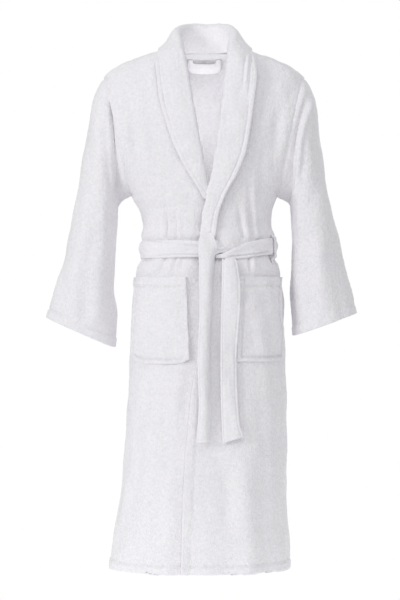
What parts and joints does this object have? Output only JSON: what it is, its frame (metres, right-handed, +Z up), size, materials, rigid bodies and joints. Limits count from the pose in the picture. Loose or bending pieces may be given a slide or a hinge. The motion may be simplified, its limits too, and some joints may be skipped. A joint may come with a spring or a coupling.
{
  "type": "bathrobe",
  "caption": "White terry wrap bathrobe with a shawl collar, wide sleeves, patch pockets and a tied belt, shaped as if worn.",
  "frame": {"origin": "between the shoulders, at the height of the seam behind the neck, where a wearer or a hanger carries the robe", "axes": "+Z up, from the hem to the collar; -Y out of the front; +X to the wearer's left"},
  "size_m": [0.699, 0.296, 1.2389],
  "materials": {
    "terry": "white looped cotton pile, matt",
    "collar_terry": "white looped cotton pile in two layers, matt",
    "belt_terry": "white looped cotton pile folded double and topstitched, matt",
    "tape": "white cotton, low pile, matt"
  },
  "bodies": {
    "robe": {"back_panel": "terry", "left_front_panel": "terry", "right_front_panel": "terry", "left_upper_collar": "collar_terry", "right_upper_collar": "collar_terry", "left_under_collar": "collar_terry", "right_under_collar": "collar_terry", "left_pocket": "terry", "right_pocket": "terry", "belt_band": "belt_terry", "belt_knot": "belt_terry", "left_belt_loop": "tape", "right_belt_loop": "tape", "neck_tape": "tape"},
    "left_arm": {"left_sleeve": "terry"},
    "right_arm": {"right_sleeve": "terry"},
    "over_tail": {"belt_tail_over": "belt_terry"},
    "under_tail": {"belt_tail_under": "belt_terry"},
    "loop": {"hanger_loop": "tape"},
    "front_corner": {"left_front_corner": "terry"}
  },
  "joints": [
    {"name": "left_sleeve_swing", "type": "hinge", "parent": "robe", "child": "left_arm", "pos_m": [0.2288, 0, -0.062], "axis": [0, -1, 0], "range_deg": [0, 45]},
    {"name": "right_sleeve_swing", "type": "hinge", "parent": "robe", "child": "right_arm", "pos_m": [-0.2228, 0, -0.062], "axis": [0, 1, 0], "range_deg": [0, 45]},
    {"name": "over_tail_swing", "type": "hinge", "parent": "robe", "child": "over_tail", "pos_m": [0.008, -0.1259, -0.4665], "axis": [-1, 0, 0], "range_deg": [0, 75]},
    {"name": "under_tail_swing", "type": "hinge", "parent": "robe", "child": "under_tail", "pos_m": [0.06, -0.1247, -0.4665], "axis": [-1, 0, 0], "range_deg": [0, 75]},
    {"name": "hanger_loop_flip", "type": "hinge", "parent": "robe", "child": "loop", "pos_m": [0.003, 0.0615, -0.0065], "axis": [-1, 0, 0], "range_deg": [0, 110]},
    {"name": "front_corner_fold", "type": "hinge", "parent": "robe", "child": "front_corner", "pos_m": [-0.0405, -0.149, -0.93], "axis": [-0.4855, 0, 0.8743], "range_deg": [0, 70]}
  ]
}
